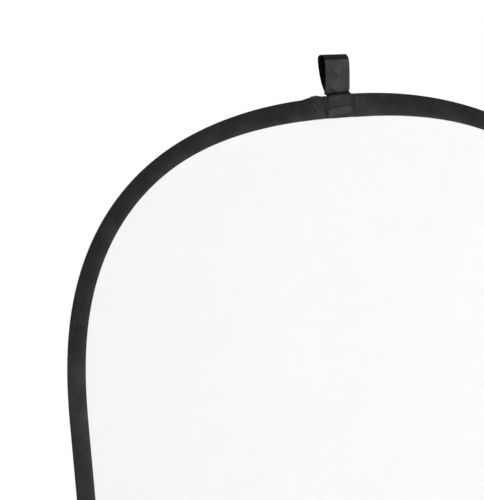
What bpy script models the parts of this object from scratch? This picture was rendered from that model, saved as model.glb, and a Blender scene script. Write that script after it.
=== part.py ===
"""Collapsible oval reflector with a hanging loop.

A flat spring-steel band, closed into a rounded oval by a crimped ferrule, keeps two plies of
fabric taut, white in front and silver behind. A tape folded over the band binds the plies to it.
A fabric strap, sewn down on both sides of the binding, stands above the rim as a loop.

Metres, +Z up, white face towards -Y. The origin is where a hook bears inside the loop, and the
panel hangs below it.
"""

import math

import bmesh
import bpy

# Outline of the panel, over the binding
PANEL_WIDTH = 1.000
PANEL_HEIGHT = 1.500
SIDE_STRAIGHT = 0.514  # straight stretch in the middle of each side
END_EXPONENT = 2.5  # how square the rounded ends are: 2 is an ellipse
CROWN_RISE = 0.0048  # the hoop peaks this much at the loop
CROWN_REACH = 0.260  # along the rim, each way from the loop
CROWN_LEAN = 0.0015  # the peak is this much higher right of the loop, and lower left of it
LEAN_LEFT_FROM = 0.008  # along the rim, from the loop to where the drop on its left starts
LEAN_RIGHT_FROM = 0.020  # and to where the rise on its right starts
LEAN_REACH = 0.012
FACET_LENGTH = 0.028  # along the rounded ends

# Spring hoop and its joint
BAND_WIDTH = 0.0050  # across the panel's thickness
BAND_THICKNESS = 0.0009
BAND_END_GAP = 0.0006
JOINT_AT = -0.040  # middle of the joint, along the rim from the loop
FERRULE_LENGTH = 0.024
FERRULE_WALL = 0.0005
CRIMP_COUNT = 4
CRIMP_LENGTH = 0.0024
CRIMP_DEPTH = 0.0002
SLEEVE_OVERHANG = 0.002  # past each end of the ferrule
SLEEVE_WALL = 0.0003
SWELL_RAMP = 0.009  # the binding rises over the joint in this length

# Fabric plies and binding
PLY_THICKNESS = 0.0003
PLY_INSET = 0.012  # from the outline to a ply's own edge, inside the binding
TAPE_THICKNESS = 0.0006
RIM_WIDTH = 0.0296
RIM_EXTRA_WIDTH = 0.0077  # the rim is this much wider at the loop
RIM_EXTRA_LEAN = 0.0020  # and this much more right of the loop, less left of it
RIM_EXTRA_REACH = 0.340  # along the rim, each way from the loop
BUNCH_HEIGHT = 0.0028  # the tape is gathered up over the joint
BUNCH_REACH = 0.016
TAPE_SEAM_AT = 0.001
TAPE_SEAM_GAP = 0.0005
COVER_FROM = -0.025
COVER_TO = 0.027

# Strap
STRAP_THICKNESS = 0.0012
STRAP_WIDTH = 0.042
TAIL_WIDTH = 0.044  # the strap is pressed a little wider where it is sewn down
TAIL_SET_OFF = 0.0016  # the sewn tails sit to one side of the rim's middle
TAIL_MEET_GAP = 0.0006
TAIL_REACH = 0.036  # from the outline to the end of a tail
HEM_LENGTH = 0.012  # turned under at the end of a tail
HEM_STEP = 0.003
HEM_TURN_SHARE = 0.45  # radius of the turned edge, as a share of one layer
LOOP_HEIGHT = 0.0630  # from the fold line to the hook
LOOP_DEPTH = 0.0375
LOOP_SET_OFF = -0.0012
LOOP_TURN_HEIGHT = 0.009  # the strap turns over in this height, at the top
LOOP_FLARE_HEIGHT = 0.024  # how far up the legs' first slope would meet the widest line
NECK_HEIGHT = 0.005  # the legs are stitched together up to here

CLEARANCE = 0.0003  # between pieces that touch

# How finely the curves are cut
CURVE_SAMPLES = 800  # in a quarter of the outline, to measure along it
CORNER_SEGMENTS = 3
LOOP_SEGMENTS = 8  # in each leg and each half of the turn
SLIVER_SHARE = 0.2  # facets shorter than this share of the usual one are left out
SWELL_STEP = 0.0025  # along the rim, where the binding rises and falls beside the loop
SHARP_ANGLE = math.radians(35.0)

# Base colour, roughness and metallic of each material
FINISHES = {
    "strap_nylon": ((0.042, 0.042, 0.043), 0.72, 0.0),
    "tail_nylon": ((0.046, 0.046, 0.047), 0.72, 0.0),
    "binding_tape": ((0.030, 0.030, 0.031), 0.68, 0.0),
    "cover_tape": ((0.030, 0.030, 0.031), 0.66, 0.0),
    "spring_steel": ((0.36, 0.38, 0.42), 0.34, 1.0),
    "plated_steel": ((0.62, 0.63, 0.64), 0.30, 1.0),
    "shrink_tube": ((0.018, 0.018, 0.020), 0.45, 0.0),
    "white_nylon": ((0.92, 0.92, 0.91), 0.80, 0.0),
    "silver_fabric": ((0.60, 0.60, 0.61), 0.42, 0.75),
}

# Worked out from the sizes above
HALF_WIDTH = PANEL_WIDTH / 2.0
HALF_STRAIGHT = SIDE_STRAIGHT / 2.0
END_RISE = PANEL_HEIGHT / 2.0 - HALF_STRAIGHT
BAND_OUTER = TAPE_THICKNESS + CLEARANCE
BAND_INNER = BAND_OUTER + BAND_THICKNESS
JOINT_GROWTH = 2.0 * CLEARANCE + FERRULE_WALL + SLEEVE_WALL
SLEEVE_REACH = FERRULE_LENGTH / 2.0 + SLEEVE_OVERHANG
PLY_STACK_HALF = PLY_THICKNESS + CLEARANCE / 2.0
BINDING_LIFT = CLEARANCE + TAPE_THICKNESS / 2.0
COVER_LIFT = BINDING_LIFT + TAPE_THICKNESS + CLEARANCE
TAIL_LIFT = COVER_LIFT + TAPE_THICKNESS / 2.0 + CLEARANCE + STRAP_THICKNESS / 2.0
FOLD_RADIUS = STRAP_THICKNESS
TAIL_TOP = TAIL_LIFT + STRAP_THICKNESS / 2.0 - BAND_OUTER
FOLD_LINE_RISE = CROWN_RISE + TAIL_TOP + CLEARANCE + FOLD_RADIUS


def end_curve():
    """The quarter curve from the top centre to a side, as (distance, x, z above the side)."""
    power = 2.0 / END_EXPONENT
    points = [(0.0, 0.0, END_RISE)]
    for step in range(1, CURVE_SAMPLES + 1):
        angle = math.pi / 2.0 * step / CURVE_SAMPLES
        x = HALF_WIDTH * math.sin(angle) ** power
        z = END_RISE * max(math.cos(angle), 0.0) ** power
        distance, last_x, last_z = points[-1]
        points.append((distance + math.hypot(x - last_x, z - last_z), x, z))
    return points


END_CURVE = end_curve()
END_LENGTH = END_CURVE[-1][0]
HALF_ROUND = 2.0 * END_LENGTH + SIDE_STRAIGHT


def from_loop(distance):
    """The same place on the rim, measured the short way round from the loop."""
    return (distance + HALF_ROUND) % (2.0 * HALF_ROUND) - HALF_ROUND


def smooth(share):
    """A share held between 0 and 1, eased at both ends."""
    share = min(max(share, 0.0), 1.0)
    return share * share * (3.0 - 2.0 * share)


def hump(distance, reach):
    """A rounded hump along the rim: 1 at the loop, down to 0 at the reach on either side."""
    along = min(abs(from_loop(distance)), reach)
    return 0.5 * (1.0 + math.cos(math.pi * along / reach))


def lean(distance):
    """Which side of the loop a distance is on: -1 to its left, 1 to its right, 0 under it."""
    along = from_loop(distance)
    if along < 0.0:
        return -smooth((-along - LEAN_LEFT_FROM) / LEAN_REACH)
    return smooth((along - LEAN_RIGHT_FROM) / LEAN_REACH)


def crown(distance):
    """How far the outline stands out at the hoop's peak, at a distance along the rim."""
    return (CROWN_RISE + CROWN_LEAN * lean(distance)) * hump(distance, CROWN_REACH)


def rim_width(distance):
    extra = RIM_EXTRA_WIDTH + RIM_EXTRA_LEAN * lean(distance)
    return RIM_WIDTH + extra * hump(distance, RIM_EXTRA_REACH)


def joint_growth(distance):
    """How far the ferrule and its sleeve push the binding out, at a distance along the rim."""
    past = abs(from_loop(distance - JOINT_AT)) - SLEEVE_REACH
    return JOINT_GROWTH * smooth(1.0 - past / SWELL_RAMP)


def rim_frame(distance):
    """Point on the outline and its inward normal, as (x, z), (nx, nz).

    Distances run along the rim from the top centre, towards +X.
    """
    distance = from_loop(distance)
    side = math.copysign(1.0, distance)
    along = abs(distance)
    end = 1.0
    if along > HALF_ROUND / 2.0:
        along = HALF_ROUND - along
        end = -1.0
    if along >= END_LENGTH:
        point = (HALF_WIDTH, HALF_STRAIGHT - (along - END_LENGTH))
        normal = (-1.0, 0.0)
    else:
        above = next(i for i, sample in enumerate(END_CURVE) if sample[0] > along)
        before, x0, z0 = END_CURVE[above - 1]
        after, x1, z1 = END_CURVE[above]
        share = (along - before) / (after - before)
        x = x0 + (x1 - x0) * share
        z = z0 + (z1 - z0) * share
        slope_x = (x / HALF_WIDTH) ** (END_EXPONENT - 1.0) / HALF_WIDTH
        slope_z = (z / END_RISE) ** (END_EXPONENT - 1.0) / END_RISE
        size = math.hypot(slope_x, slope_z)
        point = (x, HALF_STRAIGHT + z)
        normal = (-slope_x / size, -slope_z / size)
    rise = crown(distance)
    x = side * (point[0] - normal[0] * rise)
    z = end * (point[1] - normal[1] * rise)
    return (x, z), (side * normal[0], end * normal[1])


def place(distance, section):
    """A section of (inward, through) points, stood on the rim at a distance along it."""
    (x, z), (nx, nz) = rim_frame(distance)
    return [(x + nx * inward, through, z + nz * inward) for inward, through in section]


def stops(start, stop, marks=()):
    """Distances from start to stop: the marks, and the facets of the rounded ends."""
    facets = math.ceil(END_LENGTH / FACET_LENGTH)
    grid = []
    for turn in range(-2, 4):
        for facet in range(facets + 1):
            along = END_LENGTH * facet / facets
            grid.append(turn * HALF_ROUND + along)
            grid.append(turn * HALF_ROUND - along)
    found = [start, stop]
    for spacing, distances in ((SWELL_STEP, marks), (min(FACET_LENGTH, stop - start), sorted(grid))):
        sliver = SLIVER_SHARE * spacing
        for distance in distances:
            if start < distance < stop and all(abs(distance - other) > sliver for other in found):
                found.append(distance)
    return sorted(found)


def rounded(corners, segments):
    """A path of 2-D points, from ((a, b), radius) corners, with an arc at each radius."""
    path = []
    for index, (corner, radius) in enumerate(corners):
        if radius == 0.0 or index in (0, len(corners) - 1):
            path.append(corner)
            continue
        before = corners[index - 1][0]
        after = corners[index + 1][0]
        angle_in = math.atan2(before[1] - corner[1], before[0] - corner[0])
        angle_out = math.atan2(after[1] - corner[1], after[0] - corner[0])
        opening = (angle_out - angle_in + math.pi) % (2.0 * math.pi) - math.pi
        middle = angle_in + opening / 2.0
        reach = radius / math.sin(abs(opening) / 2.0)
        centre = (corner[0] + reach * math.cos(middle), corner[1] + reach * math.sin(middle))
        sweep = math.copysign(math.pi - abs(opening), opening)
        for step in range(segments + 1):
            angle = middle + math.pi + sweep * (0.5 - step / segments)
            path.append((centre[0] + radius * math.cos(angle), centre[1] + radius * math.sin(angle)))
    return path


def offset(path, distance):
    """A copy of an open path, moved sideways to its left by a distance."""
    moved = []
    for index, point in enumerate(path):
        before = path[max(index - 1, 0)]
        after = path[min(index + 1, len(path) - 1)]
        first = math.atan2(point[1] - before[1], point[0] - before[0])
        second = math.atan2(after[1] - point[1], after[0] - point[0])
        if index == 0:
            first = second
        if index == len(path) - 1:
            second = first
        turn = (second - first + math.pi) % (2.0 * math.pi) - math.pi
        heading = first + turn / 2.0 + math.pi / 2.0
        reach = distance / math.cos(turn / 2.0)
        moved.append((point[0] + reach * math.cos(heading), point[1] + reach * math.sin(heading)))
    return moved


def strip(path, thickness):
    """The closed outline of a strip of fabric that follows a path."""
    return offset(path, thickness / 2.0) + offset(path, -thickness / 2.0)[::-1]


def wrap_corners(distance, lift):
    """Corners of a layer folded over the band and down to the rim's inner edge on both sides.

    Lift is from the band, or from the sleeve over its joint, to the middle of the layer.
    """
    growth = joint_growth(distance)
    bunch = BUNCH_HEIGHT * hump(distance - JOINT_AT, BUNCH_REACH)
    half = BAND_WIDTH / 2.0 + growth + lift
    fold = BAND_OUTER - growth - bunch - lift
    shoulder = BAND_INNER + growth
    edge = rim_width(distance)
    edge_half = PLY_STACK_HALF + lift
    return [
        ((edge, -edge_half), 0.0),
        ((shoulder, -half), 0.0),
        ((fold, -half), lift),
        ((fold, half), lift),
        ((shoulder, half), 0.0),
        ((edge, edge_half), 0.0),
    ]


def tail_corners(distance, face):
    """Corners of a strap tail, from the top of the rim down one face, with its turned-under hem.

    Face is -1 for the front and 1 for the back.
    """
    wrap = wrap_corners(distance, TAIL_LIFT)
    edge, edge_half = wrap[-1][0]
    shoulder, half = wrap[-2][0]
    fold = wrap[-3][0][0]
    layer = STRAP_THICKNESS + CLEARANCE
    turn = HEM_TURN_SHARE * layer

    def on_face(inward):
        share = (inward - shoulder) / (edge - shoulder)
        return half + (edge_half - half) * share

    hem = TAIL_REACH - HEM_LENGTH
    corners = [
        ((fold, TAIL_MEET_GAP / 2.0), 0.0),
        ((fold, half), TAIL_LIFT),
        ((shoulder, half), 0.0),
        ((hem - HEM_STEP, on_face(hem - HEM_STEP)), 0.0),
        ((hem, on_face(hem) + layer), 0.0),
        ((TAIL_REACH, on_face(TAIL_REACH) + layer), turn),
        ((TAIL_REACH, on_face(TAIL_REACH)), turn),
        ((hem + CLEARANCE, on_face(hem + CLEARANCE)), 0.0),
    ]
    return [((inward, face * through), radius) for (inward, through), radius in corners]


def box_section(outer, inner, half):
    return [(outer, -half), (inner, -half), (inner, half), (outer, half)]


def new_object(name, bm, material, parent, height):
    """Make an object whose mesh is in the panel's frame, at a height under its parent."""
    bmesh.ops.recalc_face_normals(bm, faces=bm.faces)
    mesh = bpy.data.meshes.new(name)
    bm.to_mesh(mesh)
    bm.free()
    mesh.shade_smooth()
    mesh.set_sharp_from_angle(angle=SHARP_ANGLE)
    mesh.materials.append(material)
    made = bpy.data.objects.new(name, mesh)
    bpy.context.collection.objects.link(made)
    made.parent = parent
    made.location.z = height
    return made


def skin(bm, rings, closed):
    """Join rings of points with quads, and return their vertices."""
    rows = [[bm.verts.new(point) for point in ring] for ring in rings]
    count = len(rows[0])
    pairs = list(zip(rows, rows[1:]))
    if closed:
        pairs.append((rows[-1], rows[0]))
    for row, following in pairs:
        for index in range(count):
            beside = (index + 1) % count
            bm.faces.new((row[index], row[beside], following[beside], following[index]))
    return rows


def loft_strip(rings):
    """A solid through strip sections, with its two ends closed by quads across the strip."""
    bm = bmesh.new()
    rows = skin(bm, rings, closed=False)
    last = len(rows[0]) - 1
    for row in (rows[0], rows[-1]):
        for index in range(last // 2):
            bm.faces.new((row[index], row[index + 1], row[last - index - 1], row[last - index]))
    return bm


def loft_tube(outer_rings, inner_rings):
    """An open-ended tube between outer and inner sections."""
    bm = bmesh.new()
    outer = skin(bm, outer_rings, closed=False)
    inner = skin(bm, inner_rings, closed=False)
    count = len(outer[0])
    for outer_row, inner_row in ((outer[0], inner[0]), (outer[-1], inner[-1])):
        for index in range(count):
            beside = (index + 1) % count
            bm.faces.new((outer_row[index], outer_row[beside], inner_row[beside], inner_row[index]))
    return bm


def new_material(name):
    colour, roughness, metallic = FINISHES[name]
    made = bpy.data.materials.new(name)
    made.use_nodes = True
    surface = made.node_tree.nodes["Principled BSDF"]
    surface.inputs["Base Color"].default_value = (*colour, 1.0)
    surface.inputs["Roughness"].default_value = roughness
    surface.inputs["Metallic"].default_value = metallic
    return made


def hoop_band():
    """The spring band, open where its ends butt inside the ferrule."""
    start = JOINT_AT + BAND_END_GAP / 2.0
    stop = JOINT_AT + 2.0 * HALF_ROUND - BAND_END_GAP / 2.0
    section = box_section(BAND_OUTER, BAND_INNER, BAND_WIDTH / 2.0)
    distances = stops(start, stop, swell_marks())
    return loft_strip([place(distance, section) for distance in distances])


def crimped_sections(stations, growth):
    """Rectangular sections grown out from the band, at (distance, depth pressed in) stations.

    The crimps press in the band's two wide faces.
    """
    rings = []
    for distance, pressed in stations:
        outer = BAND_OUTER - growth + pressed
        inner = BAND_INNER + growth - pressed
        rings.append(place(distance, box_section(outer, inner, BAND_WIDTH / 2.0 + growth)))
    return rings


def hoop_ferrule():
    """A flattened steel tube over the butted ends, with crimps pressed across it."""
    start = JOINT_AT - FERRULE_LENGTH / 2.0
    pitch = FERRULE_LENGTH / CRIMP_COUNT
    stations = [(start, 0.0)]
    for crimp in range(CRIMP_COUNT):
        middle = start + (crimp + 0.5) * pitch
        stations.append((middle - CRIMP_LENGTH / 2.0, 0.0))
        stations.append((middle - CRIMP_LENGTH / 4.0, CRIMP_DEPTH))
        stations.append((middle + CRIMP_LENGTH / 4.0, CRIMP_DEPTH))
        stations.append((middle + CRIMP_LENGTH / 2.0, 0.0))
    stations.append((start + FERRULE_LENGTH, 0.0))
    outer = crimped_sections(stations, CLEARANCE + FERRULE_WALL)
    inner = crimped_sections(stations, CLEARANCE)
    return loft_tube(outer, inner)


def ferrule_sleeve():
    """Shrunk tube that keeps the ferrule's ends from wearing through the binding."""
    stations = [(JOINT_AT + along, 0.0) for along in (-SLEEVE_REACH, 0.0, SLEEVE_REACH)]
    outer = crimped_sections(stations, JOINT_GROWTH)
    inner = crimped_sections(stations, JOINT_GROWTH - SLEEVE_WALL)
    return loft_tube(outer, inner)


def ply(face):
    """One sheet of fabric, -1 for the front and 1 for the back."""
    near = face * CLEARANCE / 2.0
    far = face * PLY_STACK_HALF
    distances = stops(-HALF_ROUND, HALF_ROUND)[:-1]
    rings = []
    for through in (near, far):
        rings.append([place(distance, [(PLY_INSET, through)])[0] for distance in distances])
    bm = bmesh.new()
    for sheet in skin(bm, rings, closed=False):
        bm.faces.new(sheet)
    return bm


def wrap(start, stop, lift, marks):
    """A length of tape folded over the rim."""
    rings = []
    for distance in stops(start, stop, marks):
        path = rounded(wrap_corners(distance, lift), CORNER_SEGMENTS)
        rings.append(place(distance, strip(path, TAPE_THICKNESS)))
    return loft_strip(rings)


def swell_marks():
    """Distances through everything that rises or falls beside the loop and over the joint."""
    start = JOINT_AT - SLEEVE_REACH - SWELL_RAMP
    stop = LEAN_RIGHT_FROM + LEAN_REACH
    count = math.ceil((stop - start) / SWELL_STEP)
    marks = [start + (stop - start) * step / count for step in range(count + 1)]
    return marks + [mark + 2.0 * HALF_ROUND for mark in marks]


def rim_binding():
    start = TAPE_SEAM_AT + TAPE_SEAM_GAP / 2.0
    stop = TAPE_SEAM_AT + 2.0 * HALF_ROUND - TAPE_SEAM_GAP / 2.0
    return wrap(start, stop, BINDING_LIFT, swell_marks())


def joint_cover():
    return wrap(COVER_FROM, COVER_TO, COVER_LIFT, swell_marks())


def loop_tail(face):
    """An end of the strap, sewn down on the front (-1) or the back (1) of the rim."""
    rings = []
    start = TAIL_SET_OFF - TAIL_WIDTH / 2.0
    for distance in stops(start, start + TAIL_WIDTH, swell_marks()):
        path = rounded(tail_corners(distance, face), CORNER_SEGMENTS)
        rings.append(place(distance, strip(path, STRAP_THICKNESS)))
    return loft_strip(rings)


def loop_path():
    """Middle line of the loop, as (y, z) above the fold line: a leg, the turn, the other leg."""
    leg = STRAP_THICKNESS / 2.0
    belly = LOOP_DEPTH / 2.0 - leg
    top = LOOP_HEIGHT + leg
    widest = top - LOOP_TURN_HEIGHT
    half = []
    for step in range(LOOP_SEGMENTS):
        rest = 1.0 - step / LOOP_SEGMENTS
        y = belly + (leg - belly) * rest * rest
        flare = 2.0 * rest * (1.0 - rest) * LOOP_FLARE_HEIGHT
        half.append((y, rest * rest * NECK_HEIGHT + flare + (1.0 - rest) ** 2 * widest))
    for step in range(LOOP_SEGMENTS + 1):
        angle = math.pi / 2.0 * step / LOOP_SEGMENTS
        half.append((belly * math.cos(angle), widest + LOOP_TURN_HEIGHT * math.sin(angle)))
    return [(-y, z) for y, z in half] + half[-2::-1]


def hang_loop():
    """The open part of the strap, as an outline across it, drawn out to the strap's width."""
    near_edge = LOOP_SET_OFF - STRAP_WIDTH / 2.0
    path = loop_path()
    outside = offset(path, STRAP_THICKNESS / 2.0)
    inside = offset(path, -STRAP_THICKNESS / 2.0)[1:-1]
    inside.append((0.0, NECK_HEIGHT))
    for step in range(LOOP_SEGMENTS + 1):
        angle = -math.pi * step / LOOP_SEGMENTS
        outside.append((FOLD_RADIUS * math.cos(angle), FOLD_RADIUS * math.sin(angle)))
    bm = bmesh.new()
    edges = []
    for outline in (outside, inside):
        ring = [bm.verts.new((near_edge, y, z - LOOP_HEIGHT)) for y, z in outline]
        for index, vertex in enumerate(ring):
            edges.append(bm.edges.new((vertex, ring[(index + 1) % len(ring)])))
    faces = bmesh.ops.triangle_fill(bm, edges=edges, use_beauty=True)["geom"]
    faces = [face for face in faces if isinstance(face, bmesh.types.BMFace)]
    drawn = bmesh.ops.extrude_face_region(bm, geom=faces)["geom"]
    moved = [item for item in drawn if isinstance(item, bmesh.types.BMVert)]
    bmesh.ops.translate(bm, verts=moved, vec=(STRAP_WIDTH, 0.0, 0.0))
    return bm


def build():
    for item in list(bpy.data.objects):
        bpy.data.objects.remove(item, do_unlink=True)

    new_object("hang_loop", hang_loop(), new_material("strap_nylon"), None, 0.0)

    fold_line = bpy.data.objects.new("loop_fold_line", None)
    bpy.context.collection.objects.link(fold_line)
    fold_line.location.z = -LOOP_HEIGHT
    panel_height = -(PANEL_HEIGHT / 2.0 + FOLD_LINE_RISE)

    tail = new_material("tail_nylon")
    pieces = [
        ("hoop_band", hoop_band(), new_material("spring_steel")),
        ("hoop_ferrule", hoop_ferrule(), new_material("plated_steel")),
        ("ferrule_sleeve", ferrule_sleeve(), new_material("shrink_tube")),
        ("white_face", ply(-1.0), new_material("white_nylon")),
        ("silver_face", ply(1.0), new_material("silver_fabric")),
        ("rim_binding", rim_binding(), new_material("binding_tape")),
        ("joint_cover", joint_cover(), new_material("cover_tape")),
        ("loop_tail_front", loop_tail(-1.0), tail),
        ("loop_tail_back", loop_tail(1.0), tail),
    ]
    for name, bm, material in pieces:
        new_object(name, bm, material, fold_line, panel_height)


build()
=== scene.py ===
import math

import bpy
import numpy as np
from mathutils import Matrix, Vector


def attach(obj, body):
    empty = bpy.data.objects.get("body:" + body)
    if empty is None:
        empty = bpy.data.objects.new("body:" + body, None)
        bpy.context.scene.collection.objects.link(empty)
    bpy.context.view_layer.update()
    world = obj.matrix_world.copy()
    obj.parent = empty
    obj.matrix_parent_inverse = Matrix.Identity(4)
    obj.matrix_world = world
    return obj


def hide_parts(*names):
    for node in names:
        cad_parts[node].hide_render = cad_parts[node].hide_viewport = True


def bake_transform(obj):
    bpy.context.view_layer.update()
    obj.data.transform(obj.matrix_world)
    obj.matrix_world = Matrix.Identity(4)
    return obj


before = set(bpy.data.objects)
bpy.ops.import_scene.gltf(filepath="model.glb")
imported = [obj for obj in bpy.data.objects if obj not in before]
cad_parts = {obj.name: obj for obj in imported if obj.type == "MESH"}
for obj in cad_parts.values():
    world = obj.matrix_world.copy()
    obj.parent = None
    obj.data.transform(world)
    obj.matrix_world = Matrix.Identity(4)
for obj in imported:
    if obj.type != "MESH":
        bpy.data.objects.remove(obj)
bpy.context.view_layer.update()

# ------------------------------------------------------------
# Spring band: a flat strip of blued spring steel, 5 mm by 0.9 mm, bent flat-wise into the oval.
# It runs hidden inside the folded rim tape and keeps the two faces taut.

HALF_WIDTH = 0.500
HALF_STRAIGHT = 0.257
END_RISE = 0.493
END_EXPONENT = 2.5
CROWN_RISE = 0.0048
CROWN_REACH = 0.260
CROWN_LEAN = 0.0015
LEAN_LEFT_FROM = 0.008
LEAN_RIGHT_FROM = 0.020
LEAN_REACH = 0.012
PANEL_CENTRE = -0.8217
BAND_OUTER = 0.0009
BAND_INNER = 0.0018
BAND_HALF = 0.0025


def quarter_outline():
    """Distance, x and height over a quarter of the oval, from the top centre to the side."""
    angle = np.linspace(0.0, math.pi / 2.0, 4001)
    x = HALF_WIDTH * np.sin(angle) ** (2.0 / END_EXPONENT)
    z = END_RISE * np.maximum(np.cos(angle), 0.0) ** (2.0 / END_EXPONENT)
    steps = np.hypot(np.diff(x), np.diff(z))
    return np.concatenate([[0.0], np.cumsum(steps)]), x, z


QUARTER = quarter_outline()
END_LENGTH = QUARTER[0][-1]
HALF_ROUND = 2.0 * (END_LENGTH + HALF_STRAIGHT)


def from_loop(distance):
    """The same places on the rim, measured the short way round from the loop."""
    return (np.asarray(distance, float) + HALF_ROUND) % (2.0 * HALF_ROUND) - HALF_ROUND


def smooth(share):
    """Shares held between 0 and 1, eased at both ends."""
    share = np.clip(share, 0.0, 1.0)
    return share * share * (3.0 - 2.0 * share)


def hump(distance, reach):
    """1 at the loop, falling smoothly to 0 at the reach on either side."""
    along = np.minimum(np.abs(from_loop(distance)), reach)
    return 0.5 * (1.0 + np.cos(math.pi * along / reach))


def lean(distance):
    """-1 left of the loop, 1 right of it and 0 under it."""
    along = from_loop(distance)
    return smooth((along - LEAN_RIGHT_FROM) / LEAN_REACH) - smooth((-along - LEAN_LEFT_FROM) / LEAN_REACH)


def crown(distance):
    """How far the outline stands out where the hoop peaks at the loop."""
    return (CROWN_RISE + CROWN_LEAN * lean(distance)) * hump(distance, CROWN_REACH)


def rim_line(distance):
    """x, z and the inward normal of the rim's outer line, at distances from the loop towards +X."""
    short = from_loop(distance)
    side = np.where(short < 0.0, -1.0, 1.0)
    along = np.abs(short)
    end = np.where(along > HALF_ROUND / 2.0, -1.0, 1.0)
    along = np.where(end < 0.0, HALF_ROUND - along, along)
    straight = along >= END_LENGTH
    x = np.interp(along, QUARTER[0], QUARTER[1])
    z = np.interp(along, QUARTER[0], QUARTER[2])
    slope_x = (x / HALF_WIDTH) ** (END_EXPONENT - 1.0) / HALF_WIDTH
    slope_z = (z / END_RISE) ** (END_EXPONENT - 1.0) / END_RISE
    size = np.hypot(slope_x, slope_z)
    normal_x = np.where(straight, -1.0, -slope_x / size)
    normal_z = np.where(straight, 0.0, -slope_z / size)
    x = np.where(straight, HALF_WIDTH, x)
    z = np.where(straight, HALF_STRAIGHT - (along - END_LENGTH), HALF_STRAIGHT + z)
    rise = crown(short)
    x, z = side * (x - normal_x * rise), end * (z - normal_z * rise) + PANEL_CENTRE
    return x, z, side * normal_x, end * normal_z


def on_rim(distance, inward, through):
    """Points at distances along the rim, inward from its outer line and through the panel."""
    x, z, normal_x, normal_z = rim_line(distance)
    through = np.broadcast_to(through, np.broadcast(x, inward, through).shape)
    return np.stack([x + normal_x * inward, through, z + normal_z * inward], axis=-1)


def new_group(name, inputs, outputs):
    """A shader node group with a Vector, float inputs and float outputs, and its two ends."""
    tree = bpy.data.node_groups.new(name, "ShaderNodeTree")
    tree.interface.new_socket(name="Vector", in_out="INPUT", socket_type="NodeSocketVector")
    for label, value in inputs.items():
        socket = tree.interface.new_socket(name=label, in_out="INPUT", socket_type="NodeSocketFloat")
        socket.default_value = value
    for label in outputs:
        tree.interface.new_socket(name=label, in_out="OUTPUT", socket_type="NodeSocketFloat")
    return tree, tree.nodes.new("NodeGroupInput").outputs, tree.nodes.new("NodeGroupOutput")


def plug(tree, node, inputs):
    """Gives a node its inputs, each a value or another node's output."""
    for name, value in inputs.items():
        if isinstance(value, bpy.types.NodeSocket):
            tree.links.new(value, node.inputs[name])
        else:
            node.inputs[name].default_value = value


def add(tree, kind, inputs, **settings):
    """A new shader node with its settings and its inputs."""
    node = tree.nodes.new("ShaderNode" + kind)
    for name, value in settings.items():
        setattr(node, name, value)
    plug(tree, node, inputs)
    return node


def calc(tree, operation, first, second=0.0, third=0.0):
    """The output of one Math node."""
    return add(tree, "Math", {0: first, 1: second, 2: third}, operation=operation).outputs[0]


def between(tree, value, low, high, low_to=0.0, high_to=1.0):
    """A value mapped smoothly from one range to another."""
    ends = {"From Min": low, "From Max": high, "To Min": low_to, "To Max": high_to}
    node = add(tree, "MapRange", {"Value": value, **ends}, interpolation_type="SMOOTHSTEP")
    return node.outputs["Result"]


def two_tone(tree, share, first, second):
    """A colour mixed between two by a share."""
    tones = [tone if isinstance(tone, bpy.types.NodeSocket) else (*tone, 1.0) for tone in (first, second)]
    return add(tree, "Mix", {"Factor": share, 6: tones[0], 7: tones[1]}, data_type="RGBA").outputs[2]


def noise(tree, inputs, dimensions="3D"):
    """The grey output of one Noise node."""
    return add(tree, "TexNoise", inputs, noise_dimensions=dimensions).outputs[0]


def steel_grain_group():
    """Fine rolling lines along X and Z of the object, with faint heat tints and scuffs."""
    sizes = {"Lines per metre": 900.0, "Tint size": 40.0}
    tree, given, end = new_group("steel_grain", sizes, ("Lines", "Tint", "Scuffs"))
    place = given["Vector"]
    stretched = add(tree, "Mapping", {"Vector": place, "Scale": (0.06, 1.0, 0.06)}).outputs[0]
    lines = noise(tree, {"Vector": stretched, "Scale": given["Lines per metre"], "Detail": 3.0})
    tint = noise(tree, {"Vector": place, "Scale": given["Tint size"], "Detail": 2.0})
    scuff = noise(tree, {"Vector": place, "Scale": 700.0, "Detail": 4.0, "Roughness": 0.7})
    plug(tree, end, {
        "Lines": lines,
        "Tint": between(tree, tint, 0.35, 0.65),
        "Scuffs": between(tree, scuff, 0.62, 0.72),
    })
    return tree


STEEL_GRAIN = steel_grain_group()


def use(tree, group, inputs):
    """The outputs of a node group placed in a material, with its own values."""
    return add(tree, "Group", inputs, node_tree=group).outputs


def new_material(name):
    """An empty material with its node tree and its Principled shader."""
    material = bpy.data.materials.new(name)
    material.use_nodes = True
    return material, material.node_tree, material.node_tree.nodes["Principled BSDF"]


def bump(tree, height, distance):
    """A surface normal from a height, where 1 stands for so many metres."""
    return add(tree, "Bump", {"Height": height, "Distance": distance, "Strength": 1.0}).outputs[0]


def place_of(tree):
    """The object's own coordinates, in metres."""
    return add(tree, "TexCoord", {}).outputs["Object"]


def bare_steel(name, lines, tint_size, tones, scuffed, shine, relief):
    """A bare metal, from its rolling lines per metre, its tones, its range of roughness and relief."""
    material, tree, shader = new_material(name)
    sizes = {"Lines per metre": lines, "Tint size": tint_size}
    grain = use(tree, STEEL_GRAIN, {"Vector": place_of(tree), **sizes})
    tinted = two_tone(tree, grain["Tint"], *tones)
    plug(tree, shader, {
        "Base Color": two_tone(tree, grain["Scuffs"], tinted, scuffed),
        "Roughness": between(tree, grain["Lines"], 0.3, 0.7, *shine),
        "Metallic": 1.0,
        "Normal": bump(tree, grain["Lines"], relief),
    })
    return material


def dress(node, material):
    """Gives a node of the frame its finish."""
    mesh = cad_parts[node].data
    mesh.materials.clear()
    mesh.materials.append(material)


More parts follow.
